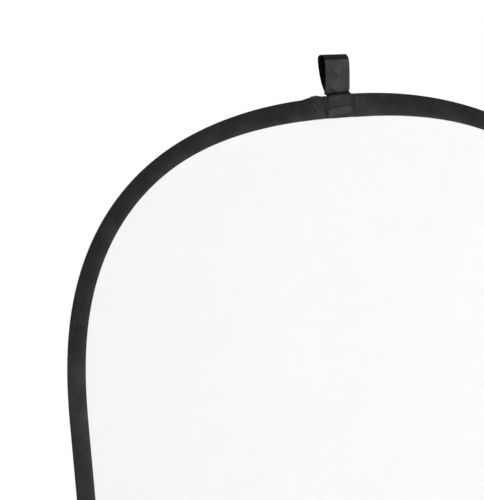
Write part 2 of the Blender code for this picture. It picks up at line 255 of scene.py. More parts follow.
BLUED = ((0.20, 0.23, 0.31), (0.33, 0.31, 0.30))
BLUED_SCUFF = (0.58, 0.58, 0.58)
blued_steel = bare_steel("blued_spring_steel", 1400.0, 30.0, BLUED, BLUED_SCUFF, (0.26, 0.42), 0.00002)
dress("hoop_band", blued_steel)

# ------------------------------------------------------------
# Ferrule: a flattened zinc-plated steel tube pushed over the band's two ends and crimped across
# in rows, which closes the band into a hoop.

PLATED = ((0.60, 0.61, 0.62), (0.70, 0.70, 0.68))
PLATED_SCUFF = (0.34, 0.34, 0.35)
zinc_plated = bare_steel("zinc_plated_steel", 600.0, 160.0, PLATED, PLATED_SCUFF, (0.24, 0.36), 0.00001)
dress("hoop_ferrule", zinc_plated)

# ------------------------------------------------------------
# Sleeve: a black tube shrunk on over the ferrule, so that its ends don't wear through the tape.
# Its surface is satin, with the faint ripples that shrinking leaves.


def shrunk_tube():
    material, tree, shader = new_material("shrunk_tube")
    ripples = noise(tree, {"Vector": place_of(tree), "Scale": 420.0, "Detail": 3.0})
    plug(tree, shader, {
        "Base Color": two_tone(tree, ripples, (0.014, 0.014, 0.016), (0.024, 0.024, 0.026)),
        "Roughness": between(tree, ripples, 0.3, 0.7, 0.34, 0.52),
        "Normal": bump(tree, ripples, 0.00012),
    })
    return material


dress("ferrule_sleeve", shrunk_tube())

# ------------------------------------------------------------
# Silver face: one sheet of closely woven fabric with a metal coating, cut to the oval and sewn
# into the rim under tension. Straight creases stay in it from twisting and coiling the panel.

RIM_WIDTH = 0.0296
RIM_EXTRA_WIDTH = 0.0077
RIM_EXTRA_LEAN = 0.0020
RIM_EXTRA_REACH = 0.340
FACE_THICKNESS = 0.0003
FACE_GAP = 0.0003
FACE_RINGS = 100
# how far in the rows of the face's border lie from the rim's outer line
FACE_BORDER = (0.012, 0.018, 0.024, 0.030, 0.036, 0.042, 0.050, 0.060)
FREE_FROM = 0.004  # a face is held flat up to this much inside the tape, and free further in
FREE_REACH = 0.030
CREASE_FIELD = (0.44, 0.68)  # half width and half height of the oval that the creases lie in
CREASE_HEIGHT = 0.0009


def rim_width(distance):
    """How wide the folded tape is, which is a little wider beside the loop."""
    extra = RIM_EXTRA_WIDTH + RIM_EXTRA_LEAN * lean(distance)
    return RIM_WIDTH + extra * hump(distance, RIM_EXTRA_REACH)


def random_creases(seed, count, longest):
    """Straight creases on the panel as (x, z, heading, half length, width, height) rows."""
    dice = np.random.default_rng(seed)
    angle = dice.uniform(0.0, 2.0 * math.pi, count)
    spread = np.sqrt(dice.uniform(0.05, 1.0, count))
    x = CREASE_FIELD[0] * spread * np.sin(angle)
    z = PANEL_CENTRE + CREASE_FIELD[1] * spread * np.cos(angle)
    heading = np.arctan2(z - PANEL_CENTRE, x) + dice.normal(0.0, 0.75, count)
    half = dice.uniform(0.3, 0.5, count) * longest
    width = dice.uniform(0.008, 0.016, count)
    height = dice.uniform(0.25, 0.8, count) * dice.choice([-1.0, 1.0], count) * CREASE_HEIGHT
    return np.stack([x, z, heading, half, width, height], axis=1)


SHARED_CREASES = np.concatenate([random_creases(5, 14, 0.70), random_creases(8, 20, 0.34)])
# slow waves across both faces: half turns per metre along x and z, phase and height
SLACK_WAVES = (
    (5.1, 3.3, 0.4, 0.00055), (-7.7, 5.9, 1.9, 0.00035), (11.3, 8.1, 3.1, 0.00022), (3.2, -9.4, 5.0, 0.0004),
)


def ripple(x, z):
    """How far the two faces stand through the panel together, in metres."""
    slack = np.zeros_like(x)
    for wave_x, wave_z, phase, height in SLACK_WAVES:
        slack += height * np.sin(math.pi * (wave_x * x + wave_z * z) + phase)
    for at_x, at_z, heading, half, width, height in SHARED_CREASES:
        along = (x - at_x) * math.cos(heading) + (z - at_z) * math.sin(heading)
        across = (z - at_z) * math.cos(heading) - (x - at_x) * math.sin(heading)
        taper = np.clip(1.0 - (along / half) ** 2, 0.0, 1.0)
        slack += height * taper * np.exp(-np.abs(across) / width)
    return slack


def face_points():
    """Distances along the rim and shares of the way out, for a square grid wound round the oval."""
    steps = np.arange(-FACE_RINGS, FACE_RINGS + 1)
    right, up = np.meshgrid(steps, steps, indexing="ij")
    ring = np.maximum(np.abs(right), np.abs(up))
    walked = np.select(
        [(up == ring) & (right >= 0), right == ring, up == -ring, right == -ring],
        [right, 2 * ring - up, 4 * ring - right, 6 * ring + up],
        8 * ring + right,
    )
    return walked / np.maximum(8 * ring, 1) * 2.0 * HALF_ROUND, ring / FACE_RINGS


def new_object(name, data):
    """An object of its own in the scene."""
    made = bpy.data.objects.new(name, data)
    bpy.context.scene.collection.objects.link(made)
    return made


def mesh_object(name, points, faces):
    """A smoothly shaded object from its points and faces."""
    mesh = bpy.data.meshes.new(name)
    mesh.from_pydata(points.tolist(), [], faces)
    mesh.shade_smooth()
    return new_object(name, mesh)


def face_object(name, face):
    """One face, -1 for the front and 1 for the back, as a grid with a border sewn into the rim."""
    distance, share = face_points()
    inner = on_rim(distance, FACE_BORDER[-1], 0.0) * share[..., None]
    inner[..., 2] += PANEL_CENTRE * (1.0 - share)
    index = np.arange(share.size).reshape(share.shape)
    grid = np.stack([index[:-1, :-1], index[1:, :-1], index[1:, 1:], index[:-1, 1:]], axis=-1)
    border = index[share == 1.0]
    loop = border[np.argsort(distance.ravel()[border])]
    around = distance.ravel()[loop]
    points = [inner.reshape(-1, 3)]
    quads = [grid.reshape(-1, 4)]
    depth = [FACE_BORDER[-1] + (1.0 - share.ravel()) * 0.4]
    for inward in FACE_BORDER[-2::-1]:
        outer = share.size + len(loop) * (len(points) - 1) + np.arange(len(loop))
        points.append(on_rim(around, inward, 0.0))
        quads.append(np.stack([loop, np.roll(loop, -1), np.roll(outer, -1), outer], axis=-1))
        depth.append(np.full(len(loop), inward))
        loop = outer
    points, quads, depth = (np.concatenate(rows) for rows in (points, quads, depth))
    free = smooth((depth - RIM_WIDTH + FREE_FROM) / FREE_REACH)
    points[:, 1] = free * ripple(points[:, 0], points[:, 2]) + face * FACE_GAP / 2.0
    made = mesh_object(name, points, (quads[:, ::-1] if face > 0 else quads).tolist())
    thick = made.modifiers.new("cloth_thickness", "SOLIDIFY")
    thick.thickness = FACE_THICKNESS
    thick.offset = 1.0
    return made


def weave_group():
    """Plain weave: threads over and under each other, with uneven thread thickness."""
    tree, given, end = new_group("plain_weave", {"Pitch": 0.001, "Slub": 0.5}, ("Height", "Thread"))
    parts = add(tree, "SeparateXYZ", {0: given["Vector"]}).outputs
    turns = calc(tree, "DIVIDE", 2.0 * math.pi, given["Pitch"])
    waves = [calc(tree, "SINE", calc(tree, "MULTIPLY", parts[axis], turns)) for axis in (0, 1)]
    streaks = []
    for scale in ((0.04, 1.0, 1.0), (1.0, 0.04, 1.0)):
        laid = add(tree, "Mapping", {"Vector": given["Vector"], "Scale": scale}).outputs[0]
        streaks.append(noise(tree, {"Vector": laid, "Scale": 320.0, "Detail": 2.0}))
    slub = calc(tree, "SUBTRACT", calc(tree, "ADD", *streaks), 1.0)
    thread = calc(tree, "MULTIPLY_ADD", slub, given["Slub"], 0.5)
    height = calc(tree, "MULTIPLY_ADD", calc(tree, "MULTIPLY", *waves), 0.25, thread)
    plug(tree, end, {"Height": height, "Thread": thread})
    return tree


PLAIN_WEAVE = weave_group()


def crease_group():
    """Thin straight creases in five directions, as cloth keeps them from being coiled up."""
    sizes = {"Spacing": 0.15, "Width": 0.004, "Share": 0.5}
    tree, given, end = new_group("straight_creases", sizes, ("Height", "Line"))
    spacing = given["Spacing"]
    shown_from = calc(tree, "MULTIPLY_ADD", given["Share"], -0.25, 0.68)
    height, line = 0.0, 0.0
    for turn in (0.35, 1.05, 1.75, 2.35, 2.95):
        laid = {"Vector": given["Vector"], "Location": (turn, turn, 0.0), "Rotation": (0.0, 0.0, turn)}
        turned = add(tree, "SeparateXYZ", {0: add(tree, "Mapping", laid).outputs[0]}).outputs
        bend = noise(tree, {"W": turned[0], "Scale": 1.5, "Detail": 0.0}, "1D")
        across = calc(tree, "DIVIDE", calc(tree, "MULTIPLY_ADD", bend, 0.04, turned[1]), spacing)
        row = add(tree, "TexVoronoi", {"W": across, "Scale": 1.0}, voronoi_dimensions="1D").outputs
        away = calc(tree, "DIVIDE", calc(tree, "MULTIPLY", row["Distance"], spacing), given["Width"])
        number = add(tree, "SeparateColor", {0: row["Color"]}).outputs
        own_line = calc(tree, "MULTIPLY", number[0], 40.0)
        place = add(tree, "CombineXYZ", {0: turned[0], 1: own_line}).outputs[0]
        reach = noise(tree, {"Vector": place, "Scale": 2.4, "Detail": 0.0}, "2D")
        shown = between(tree, calc(tree, "SUBTRACT", reach, shown_from), 0.0, 0.12)
        ridge = calc(tree, "MULTIPLY", between(tree, away, 0.0, 1.0, 1.0, 0.0), shown)
        height = calc(tree, "MULTIPLY_ADD", ridge, calc(tree, "MULTIPLY_ADD", number[1], 2.0, -1.0), height)
        line = calc(tree, "MAXIMUM", ridge, line)
    plug(tree, end, {"Height": height, "Line": line})
    return tree


STRAIGHT_CREASES = crease_group()


def face_cloth(name, pitch, slub, creased, threads, marking, folded, relief):
    """A face's material, from its weave, how creased it is, its tones and the relief of both.

    Returns the material, its tree and shader, the flat map and the weave's outputs.
    """
    material, tree, shader = new_material(name)
    parts = add(tree, "SeparateXYZ", {0: place_of(tree)}).outputs
    flat = add(tree, "CombineXYZ", {0: parts[0], 1: parts[2]}).outputs[0]
    weave = use(tree, PLAIN_WEAVE, {"Vector": flat, "Pitch": pitch, "Slub": slub})
    folds = use(tree, STRAIGHT_CREASES, {"Vector": flat, "Spacing": 0.11, "Width": 0.0045, "Share": creased})
    base = two_tone(tree, weave["Thread"], *threads)
    line = calc(tree, "MULTIPLY", folds["Line"], marking)
    woven = calc(tree, "MULTIPLY", weave["Height"], relief[0])
    height = calc(tree, "MULTIPLY_ADD", folds["Height"], relief[1], woven)
    # The faces are darker along their crease lines, towards the folded tone.
    colour = two_tone(tree, line, base, folded)
    plug(tree, shader, {"Base Color": colour, "Normal": bump(tree, height, 0.0001)})
    return material, tree, shader, flat, weave


def silver_cloth():
    tones = ((0.35, 0.35, 0.36), (0.49, 0.49, 0.50))
    material, tree, shader, flat, _ = face_cloth(
        "silver_coated_cloth", 0.0011, 0.9, 0.55, tones, 0.22, (0.30, 0.30, 0.32), (0.6, 5.0))
    cloudy = noise(tree, {"Vector": flat, "Scale": 9.0, "Detail": 4.0, "Roughness": 0.6})
    plug(tree, shader, {"Roughness": between(tree, cloudy, 0.3, 0.7, 0.40, 0.47), "Metallic": 0.75})
    return material


silver_face = face_object("silver_sheet", 1.0)
silver_face.data.materials.append(silver_cloth())
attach(silver_face, "panel")
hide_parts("silver_face")

# ------------------------------------------------------------
# White face: a sheet of matt white nylon behind which the silver sheet lies, cut to the same
# oval and sewn in with it, so it shows the same folds more softly.


def white_cloth():
    tones = ((0.90, 0.90, 0.895), (0.935, 0.935, 0.93))
    material, tree, shader, _, weave = face_cloth(
        "matt_white_cloth", 0.0009, 0.8, 0.45, tones, 0.10, (0.86, 0.86, 0.86), (0.5, 3.0))
    roughness = between(tree, weave["Thread"], 0.2, 0.8, 0.74, 0.86)
    plug(tree, shader, {"Roughness": roughness, "Specular IOR Level": 0.2})
    return material


white_face = face_object("white_sheet", -1.0)
white_face.data.materials.append(white_cloth())
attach(white_face, "panel")
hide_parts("white_face")

# ------------------------------------------------------------
# Rim tape: black polyester tape folded over the band and sewn through both faces near its inner
# edges, all the way round. It swells over the band's joint and puckers along the seam.

TAPE_THICKNESS = 0.0006
FACES_HALF = 0.00045
BINDING_LIFT = 0.0006
TAPE_START = 0.00125
TAPE_END = 0.00075
TAPE_PITCH = 0.0008
TAPE_RELIEF = 0.00012
TAPE_FADING = 0.22
# the paler tone of the tape, for rubbed wear and for painted sheen
WORN_AND_SHEEN_TAPE = (0.052, 0.052, 0.0525)
TAPE_STEP = 0.004
FINE_STEP = 0.001
FINE_REACH = 0.075
SEAM_INSET = 0.0026  # from the tape's inner edge
SEAM_STITCH = 0.0034
SEAM_THREAD = 0.00042
SEAM_DEPTH = 0.00022
SEAM_SPREAD = 0.0007
PUCKER_HEIGHT = 0.00010
HOLLOW_DEPTH = 0.00035
JOINT_AT = -0.040
JOINT_REACH = 0.014
JOINT_RAMP = 0.009
JOINT_GROWTH = 0.0014
BUNCH_HEIGHT = 0.0028
BUNCH_REACH = 0.016
GATHER_HEIGHT = 0.00042
GATHER_LENGTH = 0.0064
GATHER_REACH = (0.016, 0.009)  # along the rim and inward
GATHER_SLANT = 0.6
ARC_STEPS = 4
# inward places across a face of the tape: metres from its inner edge, then shares to the band
EDGE_PLACES = (0.0, 0.0004, 0.0014, 0.0020, 0.0026, 0.0032, 0.0040, 0.0054)
FACE_SHARES = (0.08, 0.16, 0.24, 0.32, 0.40, 0.48, 0.56, 0.64, 0.72, 0.81, 0.90, 1.0)
PUCKERS = np.random.default_rng(21).uniform(0.0, 2.0 * math.pi, (4, 6))
# folds in the tape beside the strap: along the rim and inward where each starts and where it
# ends, then how wide and how high it is
FRONT_FOLDS = (
    (-0.0492, 0.0070, -0.0400, 0.0250, 0.0013, -0.00110),
    (-0.0462, 0.0060, -0.0375, 0.0225, 0.0014, 0.00100),
    (-0.0440, 0.0040, -0.0372, 0.0135, 0.0012, -0.00080),
    (-0.0405, 0.0035, -0.0318, 0.0120, 0.0012, 0.00080),
    (-0.0378, 0.0045, -0.0262, 0.0150, 0.0012, -0.00090),
    (-0.0345, 0.0130, -0.0262, 0.0240, 0.0014, 0.00080),
    (-0.0290, 0.0150, -0.0228, 0.0260, 0.0013, -0.00090),
    (0.0275, 0.0050, 0.0270, 0.0300, 0.0018, -0.00070),
    (0.0335, 0.0050, 0.0325, 0.0300, 0.0024, 0.00080),
)
BACK_FOLDS = (
    (0.0340, 0.004, 0.0310, 0.030, 0.0013, 0.00055),
    (0.0410, 0.006, 0.0370, 0.026, 0.0011, 0.00040),
    (0.0290, 0.008, 0.0275, 0.033, 0.0012, 0.00040),
    (-0.0340, 0.004, -0.0300, 0.028, 0.0018, 0.00030),
)
RIM_FOLDS = (FRONT_FOLDS, BACK_FOLDS)
# where the tape is paler: middle and reach along the rim, and by how much
PALE_PLACES = ((0.040, 0.055, 0.22), (-0.036, 0.018, 0.24), (-0.80, 0.16, 0.30))
# Crease ridges are rubbed paler by this much, and crease hollows get as much painted shade.
CREASE_RUB_AND_SHADE = 0.42  # how much paler the cloth is along the tops of its creases
# A crease hollow this deep gets all of that painted shade.
FULL_CREASE = 0.0008  # the height at which a crease is rubbed as much as that


def joint_growth(distance):
    """How far the ferrule and its sleeve push the tape out."""
    past = np.abs(from_loop(np.asarray(distance) - JOINT_AT)) - JOINT_REACH
    return JOINT_GROWTH * smooth(1.0 - past / JOINT_RAMP)


def joint_bunch(distance):
    """How far the tape is gathered up over the joint, at the rim's outer edge only."""
    return BUNCH_HEIGHT * hump(np.asarray(distance) - JOINT_AT, BUNCH_REACH)


def joint_gathers(distance, inward):
    """Small slanting gathers over the joint, strongest at the rim's outer edge."""
    along = from_loop(distance) - JOINT_AT
    place = np.exp(-(along / GATHER_REACH[0]) ** 2 - np.maximum(inward, 0.0) / GATHER_REACH[1])
    return GATHER_HEIGHT * place * np.sin((along - GATHER_SLANT * inward) * 2.0 * math.pi / GATHER_LENGTH)


def uneven(distance, row, lengths):
    """A smooth wandering value from -1 to 1 along the rim, from waves of about these lengths."""
    total = np.zeros_like(np.asarray(distance, float))
    for phase, length in zip(PUCKERS[row], lengths):
        turns = round(2.0 * HALF_ROUND / length)
        total += np.sin(math.pi * turns * distance / HALF_ROUND + phase)
    return total / math.sqrt(len(lengths)) / 1.4


def creases(along, across, tables, face):
    """Height of the creases on a cloth: the first table where face is below 0, else the second."""
    sides = []
    for table in tables:
        total = 0.0
        for first, first_up, second, second_up, width, height in table:
            span = math.hypot(second - first, second_up - first_up)
            past = ((along - first) * (second - first) + (across - first_up) * (second_up - first_up)) / span
            off = ((along - first) * (second_up - first_up) - (across - first_up) * (second - first)) / span
            taper = np.clip(1.0 - ((past - span / 2.0) / (span * 0.62)) ** 2, 0.0, 1.0)
            total = total + height * taper * np.exp(-(off / width) ** 2)
        sides.append(total)
    return np.where(face < 0.0, *sides)


def tape_half(distance, inward, lift):
    """How far a tape's middle lies from the middle of the panel."""
    growth = joint_growth(distance)
    share = (rim_width(distance) - inward) / (rim_width(distance) - BAND_INNER - growth)
    edge_half = FACES_HALF + lift
    return edge_half + (BAND_HALF + growth + lift - edge_half) * share


def tape_outline(distance, lift, wrinkles):
    """Inward and through along a folded tape's outer line and back along its inner one."""
    growth = joint_growth(distance)
    near = rim_width(distance) - np.asarray(EDGE_PLACES)
    far = near[:, -1:] + (BAND_INNER + growth - near[:, -1:]) * np.asarray(FACE_SHARES)
    inward = np.concatenate([near, far], axis=1)
    through = tape_half(distance, inward, lift)
    half_tape = TAPE_THICKNESS / 2.0
    fold = BAND_OUTER - growth - joint_bunch(distance)
    few = [0, len(EDGE_PLACES), len(EDGE_PLACES) + 3, -1]

    def line(face, outside):
        if outside:
            across, height = inward, through + half_tape + wrinkles(distance, inward, face)
            radius, arc_steps = lift + half_tape + joint_gathers(distance, 0.0), ARC_STEPS
        else:
            across, height = inward[:, few], through[:, few] - half_tape
            radius, arc_steps = lift - half_tape, ARC_STEPS // 2
        angles = np.linspace(0.0, math.pi / 2.0, arc_steps + 1)
        across = np.concatenate([across, fold - radius * np.sin(angles)], axis=1)
        height = np.concatenate([height, BAND_HALF + growth + radius * np.cos(angles)], axis=1)
        return np.stack([across, face * height])

    lines = [line(-1.0, True), line(1.0, True)[..., ::-1], line(1.0, False), line(-1.0, False)[..., ::-1]]
    return np.concatenate(lines, axis=-1)


def cloth_object(name, points, flat_map, wear_and_painted_light):
    """A closed object through rows of points round a section, with its cloth map and its values of wear and
    painted light.
    """
    rows, columns = points.shape[:2]
    row, column = np.meshgrid(np.arange(rows - 1), np.arange(columns), indexing="ij")
    corners = [(row, column), (row, column + 1), (row + 1, column + 1), (row + 1, column)]
    faces = np.stack([i * columns + j % columns for i, j in corners], axis=-1).reshape(-1, 4).tolist()
    faces += [list(range(columns - 1, -1, -1)), list(range((rows - 1) * columns, rows * columns))]
    flat = np.stack([flat_map[i, j] for i, j in corners], axis=-2).reshape(-1, 2)
    flat = np.concatenate([flat, flat_map[0, columns - 1::-1], flat_map[-1, :columns]])
    made = mesh_object(name, points.reshape(-1, 3), faces)
    made.data.uv_layers.new(name="cloth").data.foreach_set("uv", flat.ravel())
    made.data.attributes.new("wear_and_painted_light", "FLOAT", "POINT").data.foreach_set("value", wear_and_painted_light.ravel())
    made.data.set_sharp_from_angle(angle=math.radians(50.0))
    return made


def folded_tape(name, distance, lift, wrinkles):
    """A length of tape folded over the rim, as one closed mesh, with painted sheen towards its inner edges,
    crease ridges rubbed paler and painted shade in crease hollows.
    """
    distance = distance[:, None]
    inward, through = tape_outline(distance, lift, wrinkles)
    section = np.hypot(np.diff(inward, axis=1), np.diff(through, axis=1))
    across = np.pad(np.cumsum(section, axis=1), ((0, 0), (1, 0)))
    across = np.concatenate([across, across[:, -1:] + TAPE_THICKNESS], axis=1)
    flat_map = np.stack([np.broadcast_to(distance, across.shape), across], axis=-1)
    along = from_loop(distance)
    raised = creases(along, inward, RIM_FOLDS, through) + 0.8 * joint_gathers(distance, inward)
    from_edge = np.maximum(rim_width(distance) - inward, 0.0)
    share = from_edge / rim_width(distance)
    # Painted sheen: the tape is painted paler towards its inner edges, and it keeps the dark thread tone
    # towards its fold over the band.
    wear_and_painted_light = 0.24 * (1.0 - share) ** 2 - 0.12 * share + 0.40 * np.exp(-from_edge / 0.0035)
    # Crease and gather ridges are rubbed paler, and their hollows get painted shade.
    wear_and_painted_light = wear_and_painted_light + CREASE_RUB_AND_SHADE * np.clip(raised / FULL_CREASE, -1.0, 1.0)
    for middle, reach, paler in PALE_PLACES:
        wear_and_painted_light = wear_and_painted_light + paler * np.exp(-((along - middle) / reach) ** 2)
    return cloth_object(name, on_rim(distance, inward, through), flat_map, wear_and_painted_light)


def seam_groove(from_edge):
    """1 along the seam near the tape's inner edge, falling to 0 on either side."""
    return np.exp(-((from_edge - SEAM_INSET) / SEAM_SPREAD) ** 2)


def binding_wrinkles(distance, inward, face):
    """Puckers along the seam, a soft hollow, and the gathers and folds beside the loop."""
    from_edge = rim_width(distance) - inward
    row = 0 if face < 0 else 1
    pucker = PUCKER_HEIGHT * uneven(distance, row, (0.0068, 0.0093, 0.0047))
    pucker = pucker * np.exp(-np.abs(from_edge - SEAM_INSET) / 0.004) * np.clip(from_edge / 0.0012, 0.0, 1.0)
    share = (from_edge - SEAM_INSET) / (rim_width(distance) - SEAM_INSET - BAND_INNER)
    hollow = np.sin(math.pi * np.clip(share, 0.0, 1.0))
    hollow = -HOLLOW_DEPTH * hollow * (1.0 + 0.5 * uneven(distance, row + 2, (0.09, 0.14, 0.055)))
    folds = creases(from_loop(distance), inward, RIM_FOLDS, face)
    return pucker + hollow - SEAM_DEPTH * seam_groove(from_edge) + joint_gathers(distance, inward) + folds


def rim_stops(start, stop):
    """Distances along the rim, closer together beside the loop."""
    coarse = np.arange(start + FINE_REACH, stop - FINE_REACH, TAPE_STEP)
    fine = np.arange(start, start + FINE_REACH, FINE_STEP)
    last = stop - np.arange(0.0, FINE_REACH, FINE_STEP)[::-1]
    return np.unique(np.round(np.concatenate([fine, coarse, last]), 6))


# along a stitch: shares of its length, and its lift and half width there as shares of the thread
STITCH_SHARES = np.array([0.06, 0.24, 0.76, 0.94])
STITCH_LIFTS = np.array([-0.55, 0.30, 0.30, -0.55])
STITCH_HALF_WIDTHS = np.array([0.28, 0.50, 0.50, 0.28])


def stitch_row(places, normals, length, thread):
    """Lockstitches along a row of places: bent threads of four rings with six points each."""
    walked = np.concatenate([[0.0], np.cumsum(np.linalg.norm(np.diff(places, axis=0), axis=1))])
    count = max(int(walked[-1] / length), 1)
    at = (np.arange(count)[:, None] + STITCH_SHARES) * walked[-1] / count
    middle, out = (
        np.stack([np.interp(at, walked, row[:, axis]) for axis in range(3)], axis=-1)
        for row in (places, normals)
    )
    out = out / np.linalg.norm(out, axis=-1, keepdims=True)
    forward = middle[:, -1:] - middle[:, :1]
    aside = np.cross(forward / np.linalg.norm(forward, axis=-1, keepdims=True), out)
    middle = middle + out * (STITCH_LIFTS * thread)[:, None]
    angles = np.arange(6)[:, None] * math.pi / 3.0
    ring = np.cos(angles) * aside[:, :, None] + np.sin(angles) * out[:, :, None]
    rings = middle[:, :, None] + (STITCH_HALF_WIDTHS * thread)[:, None, None] * ring
    return rings.reshape(-1, 3), count


def thread_object(name, rows, length, thread):
    """One object of all the stitch rows given, as (places, normals) pairs."""
    skin = [(k + j, k + (j + 1) % 6, k + 6 + (j + 1) % 6, k + 6 + j) for k in (0, 6, 12) for j in range(6)]
    caps = [tuple(range(5, -1, -1)), tuple(range(18, 24))]
    points, faces, used = [], [], 0
    for places, normals in rows:
        rings, count = stitch_row(places, normals, length, thread)
        points.append(rings)
        starts = used + 24 * np.arange(count)
        for shapes in (skin, caps):
            faces += (starts[:, None, None] + np.array(shapes)).reshape(-1, len(shapes[0])).tolist()
        used += len(rings)
    return mesh_object(name, np.concatenate(points), faces)


def lint_group():
    """Soft fading and specks of lint that black cloth picks up."""
    sizes = {"Patches per metre": 18.0, "Specks per metre": 900.0}
    tree, given, end = new_group("lint_and_fading", sizes, ("Fading", "Specks"))
    place = given["Vector"]
    patches = {"Scale": given["Patches per metre"], "Detail": 4.0, "Roughness": 0.6}
    patch = noise(tree, {"Vector": place, **patches})
    speck = noise(tree, {"Vector": place, "Scale": given["Specks per metre"], "Detail": 2.0})
    plug(tree, end, {"Fading": between(tree, patch, 0.35, 0.68), "Specks": between(tree, speck, 0.66, 0.74)})
    return tree


LINT = lint_group()


def black_cloth(name, tones, marking, fading, pitch, roughness, relief):
    """A black woven cloth, from the greys of its two threads, its paler marking colour and its weave.

    Where the mesh has a "wear_and_painted_light" value, the cloth is mixed paler, for rubbed wear and for
    painted light; where that value is low, the cloth stays dark as painted shade.
    """
    material, tree, shader = new_material(name)
    cloth = add(tree, "UVMap", {}, uv_map="cloth").outputs[0]
    weave = use(tree, PLAIN_WEAVE, {"Vector": cloth, "Pitch": pitch, "Slub": 1.0})
    lint = use(tree, LINT, {"Vector": cloth, "Patches per metre": 26.0, "Specks per metre": 1100.0})
    dark, light = ((grey, grey, grey + 0.0005) for grey in tones)
    threads = two_tone(tree, weave["Thread"], dark, light)
    wear_and_painted_light = add(tree, "Attribute", {}, attribute_name="wear_and_painted_light").outputs["Fac"]
    patchy = calc(tree, "MULTIPLY_ADD", lint["Fading"], 0.5, 0.75)
    worn_and_lit = calc(tree, "MULTIPLY_ADD", wear_and_painted_light, patchy, calc(tree, "MULTIPLY", lint["Fading"], fading))
    specks = calc(tree, "MULTIPLY", lint["Specks"], 0.25)
    plug(tree, shader, {
        "Base Color": two_tone(tree, specks, two_tone(tree, worn_and_lit, threads, marking), (0.12, 0.12, 0.12)),
        "Roughness": between(tree, weave["Height"], 0.2, 0.8, roughness + 0.06, roughness - 0.06),
        "Specular IOR Level": 0.05,
        "Normal": bump(tree, weave["Height"], relief),
    })
    return material


def sewing_thread():
    """Twisted black polyester thread."""
    material, tree, shader = new_material("black_sewing_thread")
    wave = {"Vector": place_of(tree), "Scale": 900.0, "Distortion": 1.0}
    twist = add(tree, "TexWave", wave, wave_type="BANDS", bands_direction="DIAGONAL").outputs["Fac"]
    plug(tree, shader, {
        "Base Color": two_tone(tree, twist, (0.012, 0.012, 0.013), (0.030, 0.030, 0.031)),
        "Roughness": between(tree, twist, 0.0, 1.0, 0.5, 0.62),
        "Specular IOR Level": 0.35,
        "Normal": bump(tree, twist, 0.00004),
    })
    return material


rim_distances = rim_stops(TAPE_START, 2.0 * HALF_ROUND + TAPE_END)
rim_tape = folded_tape("rim_tape", rim_distances, BINDING_LIFT, binding_wrinkles)
rim_tape.data.materials.append(
    black_cloth("rim_tape_cloth", (0.011, 0.021), WORN_AND_SHEEN_TAPE, TAPE_FADING, TAPE_PITCH, 0.66, TAPE_RELIEF))
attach(rim_tape, "panel")
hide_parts("rim_binding")


def tape_rows(distance, inward, lift, wrinkles):
    """A row of places and their normals on each face of a folded tape."""
    rows = []
    for face in (-1.0, 1.0):
        height = tape_half(distance, inward, lift) + TAPE_THICKNESS / 2.0 + wrinkles(distance, inward, face)
        places = on_rim(distance, inward, face * height)
        rows.append((places, np.broadcast_to((0.0, face, 0.0), places.shape)))
    return rows


seam_distances = np.arange(0.030, 2.0 * HALF_ROUND - 0.027, 0.001)
seam_inward = rim_width(seam_distances) - SEAM_INSET
seam_rows = tape_rows(seam_distances, seam_inward, BINDING_LIFT, binding_wrinkles)
rim_seam = thread_object("rim_seam_thread", seam_rows, SEAM_STITCH, SEAM_THREAD)
SEWING_THREAD = sewing_thread()
rim_seam.data.materials.append(SEWING_THREAD)
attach(rim_seam, "panel")

# ------------------------------------------------------------
# Joint cover: a short second layer of the same tape, folded over the rim where the tape's own
# ends meet, drawn tight along its inner edge and sewn down along its two ends.

COVER_FROM = -0.025
COVER_TO = 0.027
COVER_LIFT = 0.0015
COVER_SEAM = 0.0022  # from each end
COVER_STITCH = 0.0028
COVER_EDGE_DEPTH = 0.00018
COVER_END_DEPTH = 0.00020
COVER_BULGE = 0.00012


def cover_wrinkles(distance, inward, face):
    """The cover is drawn down at its ends and its inner edge, and bulges a little between them."""
    from_edge = rim_width(distance) - inward
    ends = np.minimum(np.abs(distance - COVER_FROM), np.abs(distance - COVER_TO))
    groove = -COVER_EDGE_DEPTH * seam_groove(from_edge)
    groove = groove - COVER_END_DEPTH * np.exp(-((ends - COVER_SEAM) / 0.0008) ** 2)
    bulge = COVER_BULGE * uneven(distance, 0 if face < 0 else 1, (0.021, 0.034, 0.013))
    bulge = bulge + 0.6 * creases(distance, inward, RIM_FOLDS, face)
    return groove + bulge * np.clip(ends / 0.004, 0.0, 1.0) * np.clip(from_edge / 0.004, 0.0, 1.0)


cover_distances = np.arange(COVER_FROM, COVER_TO + 0.0005, 0.001)
joint_cover = folded_tape("joint_cover_tape", cover_distances, COVER_LIFT, cover_wrinkles)
joint_cover.data.materials.append(
    black_cloth("cover_tape_cloth", (0.012, 0.0225), WORN_AND_SHEEN_TAPE, TAPE_FADING, TAPE_PITCH, 0.64, TAPE_RELIEF))
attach(joint_cover, "panel")
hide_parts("joint_cover")

cover_rows = []
for end in (COVER_FROM + COVER_SEAM, COVER_TO - COVER_SEAM):
    end_inward = np.linspace(BAND_INNER + joint_growth(end) + 0.001, rim_width(end) - 0.001, 40)
    cover_rows += tape_rows(np.full_like(end_inward, end), end_inward, COVER_LIFT, cover_wrinkles)
cover_seam = thread_object("cover_seam_thread", cover_rows, COVER_STITCH, SEAM_THREAD)
cover_seam.data.materials.append(SEWING_THREAD)
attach(cover_seam, "panel")

# ------------------------------------------------------------
# Strap: one length of soft black nylon, folded to 42 mm wide and sewn flat. Its two ends are
# turned under and sewn down on the front and the back of the rim, and its middle stands above
# the rim as an open loop. It bends where it leaves the rim, so it joins the loop to the panel.

STRAP_THICKNESS = 0.0012
LOOP_HALF_WIDTH = 0.0213
TAIL_HALF_WIDTH = (0.0210, 0.0216)  # at the top of the rim, and at the hem
TAIL_SET_OFF = (0.0019, 0.0004)  # to the right, at the same two places
TAIL_LIFT = 0.0027
TAIL_REACH = 0.0315
HEM_LENGTH = 0.0118
HEM_STEP = 0.0016
HEM_SLANT = 0.060  # the front tail ends higher on its right by this share of the width
LOOP_HEIGHT = 0.0630
LAYER_GAP = 0.0001
HEM_TURN = 0.0008
NECK_HALF = 0.00065  # from the fold's middle to a leg's
NECK_ROUNDING = 0.0012
